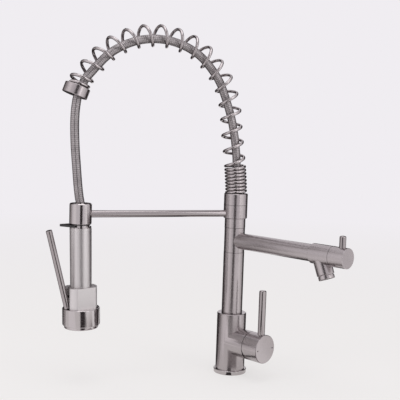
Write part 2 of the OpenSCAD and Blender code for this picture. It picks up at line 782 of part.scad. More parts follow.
module filler_pin() {
    color("silver") in_side(pin_x, arm_z + valve_r - pin_seat) domed_rod(pin_d / 2, pin_seat + pin_l, pin_d / 5);
}

// Dock arm
module dock_hub() {
    rim = 0.6;
    color("silver") difference() {
        translate([0, 0, hub_z]) rotate_extrude()
            polygon([[0, 0], [hub_r - rim, 0], [hub_r, rim], [hub_r, hub_h], [0, hub_h]]);
        translate([0, 0, hub_z - cut]) cylinder(r = pipe_r + free_gap, h = hub_h + 2 * cut);
        translate([0, 0, hub_z - cut]) cylinder(r = bush_r, h = bush_h + cut);
        translate([0, 0, hub_z + hub_h - bush_h]) cylinder(r = bush_r, h = bush_h + cut);
        translate([0, 0, rod_z]) rotate([90, 0, 0]) translate([0, 0, hub_r - rod_seat]) cylinder(r = rod_r, h = hub_r);
    }
}

module hub_bushes() {
    color("ivory") bush_pair(hub_z, hub_h);
}

module spring_seat() {
    rim = 0.7;
    color("silver") translate([0, 0, seat_z]) difference() {
        bevelled_rod(hub_r, seat_h, rim);
        translate([0, 0, -cut]) cylinder(r = retainer_r + lip, h = ledge_z - seat_z - seat_web + cut);
        cylinder(r = root_r, h = seat_h);
        translate([0, 0, ledge_z - seat_z]) cylinder(r = hub_r - seat_rim, h = seat_h);
    }
}

module hose_root() {
    color("silver") translate([0, 0, ledge_z - seat_web]) difference() {
        cylinder(r = root_r, h = root_h);
        translate([0, 0, seat_web + hose_start - free_gap]) cylinder(r = hose_r + 2 * free_gap, h = root_h);
        translate([0, 0, -cut]) cylinder(r = tube_r, h = root_h);
    }
}

module dock_rod() {
    color("silver") difference() {
        translate([0, 0, rod_z]) rotate([90, 0, 0]) translate([0, 0, hub_r - rod_seat])
            cylinder(r = rod_r, h = dock_reach - hub_r + rod_seat);
        at_dock(ring_z - cut) cylinder(r = ring_r, h = ring_h + 2 * cut);
    }
}

module dock_ring() {
    color("silver") at_dock(ring_z) difference() {
        rotate_extrude() polygon([[0, 0], [ring_r - ring_bevel, 0], [ring_r, ring_bevel],
            [ring_r, ring_h - ring_bevel], [ring_r - ring_bevel, ring_h], [0, ring_h]]);
        translate([0, 0, -cut]) cylinder(r = ring_r - ring_wall, h = ring_h - ring_lid + cut);
        cylinder(r = ring_hole_r, h = ring_h + cut);
    }
}

module dock_liner() {
    color("dimgray") at_dock(ring_z + lip)
        tube(ring_r - ring_wall, ring_r - ring_wall - liner_wall, ring_h - ring_lid - lip);
}

module arch_spring() {
    color("silver") swept_tube(spring_points, spring_inward, wire_d / 2, 6);
}

module arch_hose() {
    color("gray") swept_tube([for (p = arch_route) in_space(p)], [for (p = arch_route) [1, 0, 0]], hose_r, 12);
}

// Places a shape on the gland's axis, with +Z up from its bottom
module at_gland() {
    translate(in_space(gland_bottom)) rotate([-gland_tilt, 0, 0]) children();
}

module gland_collar() {
    rim = 0.6;
    color("silver") at_gland() difference() {
        rotate_extrude() polygon([[0, 0], [gland_d / 2 - rim, 0], [gland_d / 2, rim],
            [gland_d / 2, gland_h - rim], [gland_d / 2 - rim, gland_h], [0, gland_h]]);
        translate([0, 0, -cut]) cylinder(r = gland_bore, h = gland_h + 2 * cut);
        translate([0, 0, gland_h - gland_recess]) cylinder(r = gland_d / 2 - seat_rim, h = gland_h);
    }
}

module gland_bush() {
    color("dimgray") difference() {
        at_gland() translate([0, 0, lip]) cylinder(r = gland_bore, h = gland_h - gland_recess - lip);
        translate(in_space(drop_route[0])) rotate([-bush_turn, 0, 0]) translate([0, 0, -gland_h])
            cylinder(r = hose_r + free_gap, h = 3 * gland_h);
    }
}

module hose_drop() {
    color("silver") swept_tube([for (p = drop_2d) in_space(p)], [for (p = drop_2d) [1, 0, 0]], hose_r + free_gap / 2, 12);
}

// End of the hose
module hose_ferrule() {
    color("silver") at_hose_end(ferrule_z) rotate([ferrule_lean, 0, 0]) cylinder(r = ferrule_r, h = ferrule_l);
}

module hose_nut() {
    color("peru") difference() {
        at_hose_end(nut_z) cylinder(r = nut_r, h = nut_l);
        at_hose_end(ferrule_z) rotate([ferrule_lean, 0, 0]) cylinder(r = 2 * ferrule_r, h = ferrule_l);
    }
}

// Handset
module handset_neck() {
    color("lightgray") at_handset(grip_top) difference() {
        union() {
            cylinder(r = grip_top_d / 2 - free_gap, h = collar_ring_h);
            cylinder(r = neck_r, h = neck_l);
        }
        translate([0, 0, nut_z - grip_top]) cylinder(r = neck_bore, h = neck_l);
        translate([0, 0, -cut]) cylinder(r = tube_r, h = neck_l);
        neck_screw_place() cylinder(r = neck_screw_r, h = screw_l);
    }
}
module neck_screw_place() {
    rotate([0, 0, -clip_turn]) translate([grip_top_d / 2 - free_gap, 0, collar_ring_h / 2]) rotate([0, 90, 0])
        translate([0, 0, -screw_l]) children();
}
module neck_screw() {
    color("dimgray") at_handset(grip_top) neck_screw_place() cylinder(r = neck_screw_r, h = screw_l - free_gap);
}

module grip_tube() {
    color("gainsboro") at_handset(block_top) difference() {
        cylinder(r1 = grip_low_d / 2, r2 = grip_top_d / 2, h = grip_l, $fn = 96);
        translate([0, 0, -cut]) cylinder(r = grip_bore, h = grip_l + 2 * cut);
    }
}

module water_tube() {
    color("peru") at_handset(block_top - lip) tube(tube_r, tube_bore, nut_z - block_top + lip);
}

module block_outline() {
    intersection() {
        circle(r = block_r);
        translate([-block_w / 2, -block_r]) square([block_w, block_d]);
    }
}

module valve_block() {
    pocket_y = pivot_y - eye_r - slot_gap;
    color("gainsboro") at_handset(head_top) difference() {
        linear_extrude(block_h) block_outline();
        translate([-slot_w / 2, -block_r - cut, -cut]) cube([slot_w, slot_depth + cut, block_h + 2 * cut]);
        translate([-slot_w / 2, -block_r - cut, -cut])
            cube([slot_w, block_r - pocket_y + cut, pivot_z - head_top + eye_r + lip + cut]);
        translate([0, -pivot_y, pivot_z - head_top]) rotate([0, 90, 0])
            translate([0, 0, -block_w]) cylinder(r = pivot_r, h = block_w + pin_half);
        translate([0, 0, plunger_z - head_top]) rotate([90, 0, 0]) cylinder(r = plunger_r + run_gap, h = block_w);
        translate([0, 0, block_h - lip]) cylinder(r = tube_r, h = block_h);
        translate([0, 0, valve_seat_z]) cylinder(r = valve_cell_r, h = block_h - valve_seat_z - lip);
        translate([0, 0, -cut]) cylinder(r = tube_r, h = block_h);
    }
}
valve_cell_r = 7;
valve_seat_z = 12;

module valve_cartridge() {
    color("ivory") at_handset(head_top + valve_seat_z) difference() {
        cylinder(r = valve_cell_r, h = block_h - valve_seat_z - lip);
        translate([0, 0, -cut]) cylinder(r = tube_bore, h = block_h);
        translate([0, 0, plunger_z - head_top - valve_seat_z]) rotate([90, 0, 0])
            cylinder(r = plunger_r + free_gap, h = block_w);
    }
}

module trigger_pin() {
    color("gray") at_handset(pivot_z) translate([-pin_half, -pivot_y, 0]) rotate([0, 90, 0])
        cylinder(r = pivot_r, h = 2 * pin_half);
}

module spray_head() {
    rim = 0.9;
    color("silver") at_handset(head_low) difference() {
        rotate_extrude() polygon([[0, 0], [head_d / 2 - rim, 0], [head_d / 2, rim],
            [head_d / 2, head_h - rim], [head_d / 2 - rim, head_h], [0, head_h]]);
        translate([0, 0, -cut]) cylinder(r = bezel_d / 2 - lip, h = head_h - head_wall + cut);
        cylinder(r = tube_r, h = head_h + cut);
    }
}

module head_gasket() {
    color("dimgray") at_handset(head_top - head_wall - plate_h) tube(plate_r, plate_r - gasket_w, plate_h);
}

module spray_bezel() {
    rim = 0.9;
    color("gray") at_handset(bezel_low) difference() {
        union() {
            rotate_extrude() polygon([[0, 0], [bezel_d / 2 - rim, 0], [bezel_d / 2, rim],
                [bezel_d / 2, bezel_h], [0, bezel_h]]);
            cylinder(r = bezel_d / 2 - lip, h = bezel_h + head_h / 2);
        }
        translate([0, 0, -cut]) cylinder(r = plate_r, h = bezel_h + head_h);
    }
}

module spray_plate() {
    color("dimgray") at_handset(bezel_low + lip) difference() {
        cylinder(r = plate_r, h = plate_h);
        at_jets() translate([0, 0, -cut]) cylinder(r = jet_r, h = plate_h + 2 * cut, $fn = 16);
    }
}
jet_r = 1.1;
jet_rows = 4;
module at_jets() {
    for (row = [1:jet_rows], k = [0:row * 6 - 1]) rotate([0, 0, k * 60 / row])
        translate([row * plate_r / (jet_rows + 1), 0, 0]) children();
}

module spray_nozzles() {
    color("black") at_handset(bezel_low + lip / 2) at_jets() cylinder(r = jet_r, h = plate_h + lip / 2, $fn = 16);
}

// Spray lever: an eye on the pin, a short arm, and the leaning rod
module spray_lever() {
    eye_w = slot_w - 2 * slot_gap;
    color("silver") at_handset(pivot_z) translate([0, -pivot_y, 0]) difference() {
        union() {
            translate([-eye_w / 2, 0, 0]) rotate([0, 90, 0]) cylinder(r = eye_r, h = eye_w);
            rotate([90 - trigger_lean, 0, 0]) cylinder(r = eye_r, h = rod_offset);
            rotate([trigger_lean, 0, 0]) translate([0, -rod_offset, -trigger_r * 0.33])
                domed_rod(trigger_r, trigger_l, trigger_r / 5);
        }
        translate([-slot_w, 0, 0]) rotate([0, 90, 0]) cylinder(r = pivot_r + run_gap, h = 2 * slot_w);
    }
}

module valve_plunger() {
    // Where the lever's rod passes the plunger, less its own radius and the play
    rise = plunger_z - pivot_z;
    tip = pivot_y + (rod_offset - trigger_r) / cos(trigger_lean) + (rise - plunger_r) * tan(trigger_lean);
    color("peru") at_handset(plunger_z) rotate([90, 0, 0]) translate([0, 0, tip - plunger_gap - plunger_l])
        cylinder(r = plunger_r, h = plunger_l);
}

// Hold-down clip: a thin loop round the neck, a thicker crescent and its tab
module clip_outline() {
    tip_y = clip_reach - clip_tip_r;
    lean = acos((clip_r - clip_tip_r) / tip_y);
    difference() {
        union() {
            circle(r = clip_r);
            translate([0, -tip_y]) circle(r = clip_tip_r);
            polygon([for (s = [-1, 1], at = s < 0 ? [0, 1] : [1, 0])
                let (c = at == 0 ? [0, 0] : [0, -tip_y], r = at == 0 ? clip_r : clip_tip_r)
                c + r * [s * sin(lean), -cos(lean)]]);
        }
        translate([-clip_reach, -clip_r * 0.29]) square(2 * clip_reach);
    }
}
module hold_clip() {
    tip_y = clip_reach - clip_tip_r;
    color("black") at_handset(clip_top - clip_h) rotate([0, 0, -clip_turn]) difference() {
        union() {
            translate([0, 0, clip_h - clip_loop_h]) cylinder(r = clip_loop_r, h = clip_loop_h);
            linear_extrude(clip_h) clip_outline();
        }
        translate([0, 0, -cut]) cylinder(r = clip_bore, h = clip_h + 2 * cut);
    }
}

base_gasket();
base_flange();
base_body();
mixer_cartridge();
cartridge_nut();
trim_dome();
column_pipe();
riser_sleeve();
slip_rings();
spacer_ring();
swivel_o_rings();
pipe_retainer();
cartridge_carrier();
cartridge_stem();
mixer_cap();
mixer_lever();
cap_set_screw();
hot_index();
cold_index();
filler_collar();
collar_bushes();
filler_arm();
filler_valve_body();
filler_headwork();
aerator_housing();
aerator_insert();
filler_spindle();
filler_knob();
filler_pin();
dock_hub();
hub_bushes();
spring_seat();
hose_root();
dock_rod();
dock_ring();
dock_liner();
arch_spring();
arch_hose();
gland_collar();
gland_bush();
hose_drop();
hose_ferrule();
hose_nut();
handset_neck();
neck_screw();
grip_tube();
water_tube();
valve_block();
valve_cartridge();
trigger_pin();
spray_head();
head_gasket();
spray_bezel();
spray_plate();
spray_nozzles();
spray_lever();
valve_plunger();
hold_clip();
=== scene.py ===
# Pull-down kitchen faucet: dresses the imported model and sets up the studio
import json
import math

import bmesh
import bpy
from mathutils import Matrix, Vector


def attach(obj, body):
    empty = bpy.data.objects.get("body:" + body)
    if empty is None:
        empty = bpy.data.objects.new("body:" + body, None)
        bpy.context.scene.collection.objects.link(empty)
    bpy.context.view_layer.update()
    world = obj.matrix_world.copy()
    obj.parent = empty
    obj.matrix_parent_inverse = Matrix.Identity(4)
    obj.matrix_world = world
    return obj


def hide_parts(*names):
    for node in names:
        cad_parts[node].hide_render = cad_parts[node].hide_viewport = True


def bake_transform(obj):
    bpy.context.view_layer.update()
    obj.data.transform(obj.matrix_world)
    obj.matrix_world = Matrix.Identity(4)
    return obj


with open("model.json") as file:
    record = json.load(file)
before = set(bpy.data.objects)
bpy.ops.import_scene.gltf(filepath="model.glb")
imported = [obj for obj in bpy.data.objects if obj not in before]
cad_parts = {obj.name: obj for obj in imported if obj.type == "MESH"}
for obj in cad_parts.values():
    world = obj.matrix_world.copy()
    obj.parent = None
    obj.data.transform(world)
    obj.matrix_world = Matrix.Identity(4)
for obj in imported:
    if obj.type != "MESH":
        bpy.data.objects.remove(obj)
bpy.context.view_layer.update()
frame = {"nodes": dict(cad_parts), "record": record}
nodes = frame["nodes"]
scene = bpy.context.scene
mm = 0.001
print("frame loaded:", len(nodes), "nodes")

# Camera: place in metres, the turn and tilt of its view, and its roll in degrees
cameraSetup = {
    "place": (1.2593, -0.4902, 0.4167), "turn": 71.317, "tilt": 84.885, "roll": 1.851,
    "lens": 71.6, "sensor": 36, "near": 0.05, "far": 50,
}


def putInScene(name, data):
    made = bpy.data.objects.new(name, data)
    scene.collection.objects.link(made)
    return made


def makeCamera(setup):
    data = bpy.data.cameras.new("photoCamera")
    data.lens = setup["lens"]
    data.sensor_width = setup["sensor"]
    data.clip_start = setup["near"]
    data.clip_end = setup["far"]
    camera = putInScene("photoCamera", data)
    turn = Matrix.Rotation(math.radians(setup["turn"]), 4, "Z")
    tilt = Matrix.Rotation(math.radians(setup["tilt"]), 4, "X")
    roll = Matrix.Rotation(math.radians(setup["roll"]), 4, "Z")
    camera.matrix_world = Matrix.Translation(setup["place"]) @ turn @ tilt @ roll
    scene.camera = camera


makeCamera(cameraSetup)


# Shader maths: wraps a socket, so that an expression adds its own Math nodes
class Value:
    def __init__(self, sheet, socket):
        self.sheet = sheet
        self.socket = socket

    def combine(self, operation, *others, swap=False):
        node = self.sheet.tree.nodes.new("ShaderNodeMath")
        node.operation = operation
        terms = [self, *others]
        if swap:
            terms.reverse()
        for place, term in enumerate(terms):
            self.sheet.feed(node.inputs[place], term)
        return Value(self.sheet, node.outputs[0])

    def __add__(self, other):
        return self.combine("ADD", other)

    def __radd__(self, other):
        return self.combine("ADD", other, swap=True)

    def __sub__(self, other):
        return self.combine("SUBTRACT", other)

    def __rsub__(self, other):
        return self.combine("SUBTRACT", other, swap=True)

    def __mul__(self, other):
        return self.combine("MULTIPLY", other)

    def __rmul__(self, other):
        return self.combine("MULTIPLY", other, swap=True)

    def __abs__(self):
        return self.combine("ABSOLUTE")

    def sine(self):
        return self.combine("SINE")

    def atMost(self, other):
        return self.combine("MINIMUM", other)

    def atLeast(self, other):
        return self.combine("MAXIMUM", other)


# A node tree, with methods that make a node and feed its inputs
class Sheet:
    def __init__(self, tree):
        self.tree = tree
        tree.nodes.clear()

    def feed(self, socket, value):
        if isinstance(value, Value):
            self.tree.links.new(value.socket, socket)
        elif isinstance(value, bpy.types.NodeSocket):
            self.tree.links.new(value, socket)
        else:
            socket.default_value = value

    def node(self, kind, settings=None, output=0, **inputs):
        made = self.tree.nodes.new(kind)
        for name, value in (settings or {}).items():
            setattr(made, name, value)
        for name, value in inputs.items():
            key = int(name[1:]) if name[1:].isdigit() else name.replace("_", " ")
            self.feed(made.inputs[key], value)
        return Value(self, made.outputs[output]) if made.outputs else None

    def mixColour(self, factor, first, second):
        mix = self.tree.nodes.new("ShaderNodeMix")
        mix.data_type = "RGBA"
        self.feed(mix.inputs["Factor"], factor)
        self.feed(mix.inputs["A"], first)
        self.feed(mix.inputs["B"], second)
        return Value(self, mix.outputs["Result"])

    def place(self):
        return self.node("ShaderNodeTexCoord", output="Object")

    def noise(self, vector, scale, detail, roughness=0.5):
        return self.node("ShaderNodeTexNoise", Vector=vector, Scale=scale, Detail=detail,
                         Roughness=roughness)


def rgba(colour):
    return (*colour, 1.0)


def newSheet(name):
    material = bpy.data.materials.new(name)
    material.use_nodes = True
    return material, Sheet(material.node_tree)


def finishSheet(sheet, height, strength, distance, **inputs):
    bump = sheet.node("ShaderNodeBump", Strength=strength, Distance=distance, Height=height)
    shader = sheet.node("ShaderNodeBsdfPrincipled", Normal=bump, **inputs)
    sheet.node("ShaderNodeOutputMaterial", Surface=shader)


# Brushed nickel: tone and roughness with the spread of each, and how deep its brush lines are
nickelLooks = {
    "brushed": {"tone": (0.43, 0.392, 0.397), "spread": 0.13, "rough": 0.25, "roughSpread": 0.07,
                "lines": 0.10},
    "slim": {"tone": (0.36, 0.327, 0.33), "spread": 0.08, "rough": 0.12, "roughSpread": 0.03,
             "lines": 0.02},
    "satin": {"tone": (0.60, 0.572, 0.572), "spread": 0.05, "rough": 0.40, "roughSpread": 0.05,
              "lines": 0.05},
    "polished": {"tone": (0.49, 0.455, 0.457), "spread": 0.05, "rough": 0.14, "roughSpread": 0.04,
                 "lines": 0.03},
    "wire": {"tone": (0.45, 0.412, 0.416), "spread": 0.08, "rough": 0.17, "roughSpread": 0.06,
             "lines": 0.05},
}
# Brush lines per metre along the piece's axis, each with its share, and how slowly a line changes
brush = {
    "lines": [(2100.0, 0.6), (480.0, 0.4)], "slant": 0.37, "slow": 35.0, "detail": 3.0, "rough": 0.6,
    "cloud": 22.0, "lineShare": 0.75, "contrast": 1.6, "cloudRough": 0.06, "depth": 0.00002,
}


def brushedNickel(name, look, axis):
    material, sheet = newSheet(name)
    settings = nickelLooks[look]
    place = sheet.place()
    along = sheet.node("ShaderNodeVectorMath", {"operation": "DOT_PRODUCT"}, output="Value",
                       _0=place, _1=Vector(axis).normalized())
    slow = sheet.node("ShaderNodeVectorMath", {"operation": "SCALE"}, _0=place, Scale=brush["slow"])
    streaks = []
    for frequency, share in brush["lines"]:
        shift = sheet.node("ShaderNodeCombineXYZ", X=along * frequency,
                           Y=along * (frequency * brush["slant"]), Z=0.0)
        vector = sheet.node("ShaderNodeVectorMath", {"operation": "ADD"}, _0=slow, _1=shift)
        streaks.append(sheet.noise(vector, 1.0, brush["detail"], brush["rough"]) * share)
    lines = streaks[0] + streaks[1]
    cloud = sheet.noise(place, brush["cloud"], brush["detail"])
    tone, spread = Vector(settings["tone"]), settings["spread"]
    blend = lines * brush["lineShare"] + cloud * (1 - brush["lineShare"])
    colour = sheet.mixColour((blend - 0.5) * brush["contrast"] + 0.5,
                             rgba(tone * (1 - spread)), rgba(tone * (1 + spread)))
    rough = (lines - 0.5) * (2 * settings["roughSpread"]) + (cloud - 0.5) * brush["cloudRough"]
    finishSheet(sheet, lines, settings["lines"], brush["depth"], Base_Color=colour, Metallic=1.0,
                Roughness=rough + settings["rough"])
    return material


# Plastics, rubber, enamel, brass, and a near-black steel that is painted shade for seams and gaps: a fine
# grain over broad, faint clouds
grainLook = {
    "fineDetail": 3.0, "broad": 40.0, "broadDetail": 2.0, "low": 0.86, "high": 1.12, "gloss": 0.16,
    "bump": 0.15, "depth": 0.0001,
}


def grained(name, colour, rough, grain, metallic=0.0, wide=0.0):
    material, sheet = newSheet(name)
    place = sheet.place()
    fine = sheet.noise(place, grain, grainLook["fineDetail"])
    broad = sheet.noise(place, grainLook["broad"], grainLook["broadDetail"])
    tone = Vector(colour)
    mixed = sheet.mixColour(fine * 0.5 + broad * 0.5,
                            rgba(tone * grainLook["low"]), rgba(tone * grainLook["high"]))
    gloss = (fine - 0.5) * grainLook["gloss"] + (broad - 0.5) * wide + rough
    finishSheet(sheet, fine, grainLook["bump"], grainLook["depth"], Base_Color=mixed,
                Metallic=metallic, Roughness=gloss)
    return material


# Braided steel: wires in flat bundles that cross at an angle, on the hose's own map; the colour follows the
# weave's height, with painted shade darkening its hollows
braidLook = {
    "light": (0.56, 0.52, 0.525), "dark": (0.03, 0.024, 0.026), "rough": 0.28, "around": 14, "wires": 4,
    "bundleHollowShade": 0.5, "wireHollowShade": 0.25, "grimeShade": 0.35, "grime": 60.0,
    "grimeDetail": 3.0, "wireRough": 0.25, "bundleHeight": 0.6, "wireHeight": 0.4, "bump": 0.5,
    "depth": 0.0003,
}


def braidedSteel(name):
    material, sheet = newSheet(name)
    uv = sheet.node("ShaderNodeUVMap", {"uv_map": "alongHose"})
    parts = sheet.tree.nodes.new("ShaderNodeSeparateXYZ")
    sheet.feed(parts.inputs[0], uv)
    across, along = Value(sheet, parts.outputs[0]), Value(sheet, parts.outputs[1])
    turn = math.pi * braidLook["around"]
    left = ((across + along) * turn).sine()
    right = ((across - along) * turn).sine()
    bundle = (left * right) * 0.5 + 0.5
    wireTurn = turn * braidLook["wires"]
    wires = abs(((across + along) * wireTurn).sine()).atMost(abs(((across - along) * wireTurn).sine()))
    grime = sheet.noise(sheet.place(), braidLook["grime"], braidLook["grimeDetail"])
    height = bundle * braidLook["bundleHeight"] + wires * braidLook["wireHeight"]
    # Painted shade: the tone falls with the height of bundles and wires, so the weave's hollows are darker;
    # the grime noise adds tone at random
    shade = bundle * braidLook["bundleHollowShade"] + wires * braidLook["wireHollowShade"]
    shade = (shade + grime * braidLook["grimeShade"]).atMost(1.0).atLeast(0.0)
    colour = sheet.mixColour(shade, rgba(braidLook["dark"]), rgba(braidLook["light"]))
    rough = (1.0 - wires) * braidLook["wireRough"] + braidLook["rough"]
    finishSheet(sheet, height, braidLook["bump"], braidLook["depth"], Base_Color=colour, Metallic=1.0,
                Roughness=rough)
    return material


# A direction that leans from upright by tilt, towards the picture's left at turn 0
def lean(turn, tilt):
    return (math.sin(tilt) * math.sin(turn), -math.sin(tilt) * math.cos(turn), math.cos(tilt))


# Which way the pieces point, in degrees: turn about the column, lean from upright
directions = {"sideTurn": 26, "nozzleTilt": 22, "glandTilt": 20, "handsetTurn": 18, "handsetTilt": 1.4,
              "leverTilt": 13.5}
sideTurn, nozzleTilt, glandTilt, handsetTurn, handsetTilt, leverTilt = (
    math.radians(degrees) for degrees in directions.values())
sideAxis = (math.cos(sideTurn), math.sin(sideTurn), 0)
nozzleAxis = (math.sin(nozzleTilt) * sideAxis[0], math.sin(nozzleTilt) * sideAxis[1],
              -math.cos(nozzleTilt))
glandAxis = lean(0, -glandTilt)
handsetAxis = lean(0, handsetTilt)
leverAxis = Matrix.Rotation(handsetTilt, 3, "X") @ Vector(lean(handsetTurn, leverTilt))
upright, armAxis, acrossWire = (0, 0, 1), (0, 1, 0), (0.3, 0.5, 0.8)

finishes = {
    "upright": brushedNickel("nickelUpright", "brushed", upright),
    "sideways": brushedNickel("nickelSideways", "brushed", sideAxis),
    "nozzle": brushedNickel("nickelNozzle", "brushed", nozzleAxis),
    "rod": brushedNickel("nickelRod", "slim", armAxis),
    "gland": brushedNickel("nickelGland", "brushed", glandAxis),
    "satin": brushedNickel("nickelSatin", "satin", handsetAxis),
    "polished": brushedNickel("nickelPolished", "polished", handsetAxis),
    "dockNickel": brushedNickel("nickelDock", "polished", upright),
    "pin": brushedNickel("nickelPin", "slim", upright),
    "lever": brushedNickel("nickelLever", "slim", leverAxis),
    "wire": brushedNickel("nickelWire", "wire", acrossWire),
    "braid": braidedSteel("braidedSteel"),
    "brass": grained("machinedBrass", (0.60, 0.42, 0.19), rough=0.28, grain=900.0, metallic=1.0),
    # Painted shade: a near-black steel for seams and for parts seen only through gaps, standing in for the
    # shadow there
    "shadeSteel": grained("gapShadeSteel", (0.07, 0.062, 0.063), rough=0.36, grain=900.0, metallic=1.0),
    "rubber": grained("blackRubber", (0.016, 0.015, 0.016), rough=0.62, grain=700.0),
    "black": grained("blackPlastic", (0.012, 0.011, 0.012), rough=0.34, grain=500.0, wide=0.1),
    "ivory": grained("ivoryPlastic", (0.72, 0.69, 0.60), rough=0.38, grain=600.0),
    "grey": grained("greyPlastic", (0.20, 0.20, 0.205), rough=0.45, grain=600.0),
    "hotMark": grained("hotEnamel", (0.035, 0.008, 0.007), rough=0.3, grain=800.0),
    "coldMark": grained("coldEnamel", (0.010, 0.014, 0.040), rough=0.3, grain=800.0),
}
print("finishes made:", len(finishes))


def wear(piece, finish):
    piece.data.materials.clear()
    piece.data.materials.append(finishes[finish])


def addPiece(name, mesh, body, finish, replaced=()):
    piece = putInScene(name, mesh)
    wear(piece, finish)
    if body:
        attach(piece, body)
    if replaced:
        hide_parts(*replaced)
    return piece


def meshFrom(bm, name, smoothAngle=32):
    for face in bm.faces:
        face.smooth = True
    mesh = bpy.data.meshes.new(name)
    bm.to_mesh(mesh)
    bm.free()
    mesh.set_sharp_from_angle(angle=math.radians(smoothAngle))
    return mesh


# Visible rigid pieces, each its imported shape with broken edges: body, finish, slot, edge width in mm
edgePieces = {
    "base_flange": ("base", "polished", "brushed", 0.5),
    "base_body": ("base", "upright", "brushed", 0.35),
    "riser_sleeve": ("base", "upright", "brushed", 0.25),
    "spacer_ring": ("base", "upright", "brushed", 0.25),
    # The trim dome shows only in a gap and wears the near-black steel of painted shade
    "trim_dome": ("base", "shadeSteel", "polished", 0.2),
    "mixer_cap": ("handle", "sideways", "brushed", 0.3),
    "mixer_lever": ("handle", "pin", "brushed", 0.3),
    "filler_collar": ("filler", "upright", "brushed", 0.25),
    "filler_arm": ("filler", "sideways", "brushed", 0.2),
    "filler_valve_body": ("filler", "sideways", "brushed", 0.3),
    "filler_knob": ("knob", "sideways", "brushed", 0.3),
    "filler_pin": ("knob", "pin", "brushed", 0.3),
    "aerator_housing": ("filler", "nozzle", "brushed", 0.2),
    "aerator_insert": ("filler", "grey", "ivory", 0.1),
    "dock_hub": ("dock", "upright", "brushed", 0.25),
    "spring_seat": ("dock", "upright", "brushed", 0.25),
    "dock_rod": ("dock", "rod", "brushed", 0.2),
    "dock_ring": ("dock", "dockNickel", "brushed", 0.3),
    "dock_liner": ("dock", "black", "black", 0.2),
    "gland_collar": ("dock", "gland", "brushed", 0.3),
    "gland_bush": ("dock", "rubber", "rubber", 0.3),
    "handset_neck": ("handset", "polished", "satin", 0.2),
    "grip_tube": ("handset", "satin", "satin", 0.3),
    "valve_block": ("handset", "satin", "satin", 0.5),
    "spray_head": ("handset", "polished", "brushed", 0.4),
    "spray_bezel": ("handset", "polished", "brushed", 0.5),
    "spray_plate": ("handset", "black", "black", 0.15),
    "spray_lever": ("lever", "lever", "brushed", 0.3),
    "hold_clip": ("clip", "black", "black", 0.35),
}


# Merged within a distance in m, flattened and broken by angle in degrees, shaded by face weight
edgeBreak = {"merge": 0.5e-6, "flat": 0.6, "sharp": 38, "segments": 2, "profile": 0.5, "weight": 100}


def breakEdges(node, width):
    bm = bmesh.new()
    bm.from_mesh(nodes[node].data)
    bmesh.ops.remove_doubles(bm, verts=bm.verts, dist=edgeBreak["merge"])
    bmesh.ops.dissolve_limit(bm, angle_limit=math.radians(edgeBreak["flat"]), verts=bm.verts, edges=bm.edges)
    corner = math.radians(edgeBreak["sharp"])
    sharp = [e for e in bm.edges if len(e.link_faces) == 2 and e.calc_face_angle(0) > corner]
    bmesh.ops.bevel(bm, geom=sharp, offset=width * mm, offset_type="OFFSET",
                    segments=edgeBreak["segments"], profile=edgeBreak["profile"], affect="EDGES",
                    clamp_overlap=True, material=-1, loop_slide=True)
    return meshFrom(bm, node + "Edged")


for node, (body, finish, slot, width) in edgePieces.items():
    piece = addPiece(node + ".edged", breakEdges(node, width), body, finish, (node,))
    even = piece.modifiers.new("evenShade", "WEIGHTED_NORMAL")
    even.keep_sharp = True
    even.weight = edgeBreak["weight"]
print("edges broken on", len(edgePieces), "pieces")

# Painted shade where the turned pieces meet: near-black rings that stand in for the shadow in each seam, in
# mm: body, height, way out along the side, radius
seamShadeLines = {
    "wide": 0.5, "proud": 0.1, "deep": 0.8, "steps": 96,
    "upright": {"hubSeam": ("dock", 290.0, 20.1), "hubFoot": ("dock", 267.3, 17.5),
                "collarTop": ("base", 251.2, 17.55), "collarFoot": ("base", 209.0, 17.55),
                "bodyTop": ("base", 104.1, 17.75)},
    "sideways": {"knobSeam": ("filler", 229.1, 206.1, 15.9), "capSeam": ("base", 55.0, 46.5, 23.6)},
}


def seamShadeRing(name, body, radius, place):
    bm = bmesh.new()
    half = seamShadeLines["wide"] / 2 * mm
    outer, inner = (radius + seamShadeLines["proud"]) * mm, (radius - seamShadeLines["deep"]) * mm
    corners = [(inner, 0, -half), (outer, 0, -half), (outer, 0, half), (inner, 0, half)]
    verts = [bm.verts.new(c) for c in corners]
    edges = [bm.edges.new((verts[i], verts[(i + 1) % 4])) for i in range(4)]
    bmesh.ops.spin(bm, geom=[*verts, *edges], cent=(0, 0, 0), axis=(0, 0, 1), angle=2 * math.pi,
                   steps=seamShadeLines["steps"], use_merge=True)
    bmesh.ops.recalc_face_normals(bm, faces=bm.faces)
    bmesh.ops.transform(bm, matrix=place, verts=bm.verts)
    addPiece(name, meshFrom(bm, name), body, "shadeSteel")


for name, (body, height, radius) in seamShadeLines["upright"].items():
    seamShadeRing(name, body, radius, Matrix.Translation((0, 0, height * mm)))
towardsSide = Matrix.Rotation(sideTurn, 4, "Z") @ Matrix.Rotation(math.pi / 2, 4, "Y")
for name, (body, height, out, radius) in seamShadeLines["sideways"].items():
    lift, slide = (Matrix.Translation((0, 0, way * mm)) for way in (height, out))
    seamShadeRing(name, body, radius, lift @ towardsSide @ slide)
print("seams drawn")

# Route of the arch in the plane of the dock arm, in mm, with shares of its reach and rise
archRoute = {
    "reach": 265.0, "rise": 264.8, "ledge": 298.6, "recess": 8.25, "steps": 12, "probe": 1.7,
    "shares": [(0, 0), (0.010, 0.179), (0.0415, 0.4135), (0.068, 0.609), (0.132, 0.771), (0.274, 0.9225),
               (0.46, 0.996), (0.658, 0.990), (0.839, 0.906), (0.981, 0.7572), (1.030, 0.6775)],
}
# Turns of the spring by stretch, with their pitch in mm; each end is a straight lead and a bend
springTurns = {
    "wire": 5.0, "outer": 37.4, "close": 8.4, "closePitch": 5.7, "open": 16.4, "end": 1.0,
    "endPitch": 7.695, "startAngle": 36.0, "perTurn": 40, "ease": 0.5,
    "bendShare": 1.1, "bendEase": 1.6, "endSteps": 6, "sides": 14, "smoothAngle": 50,
}
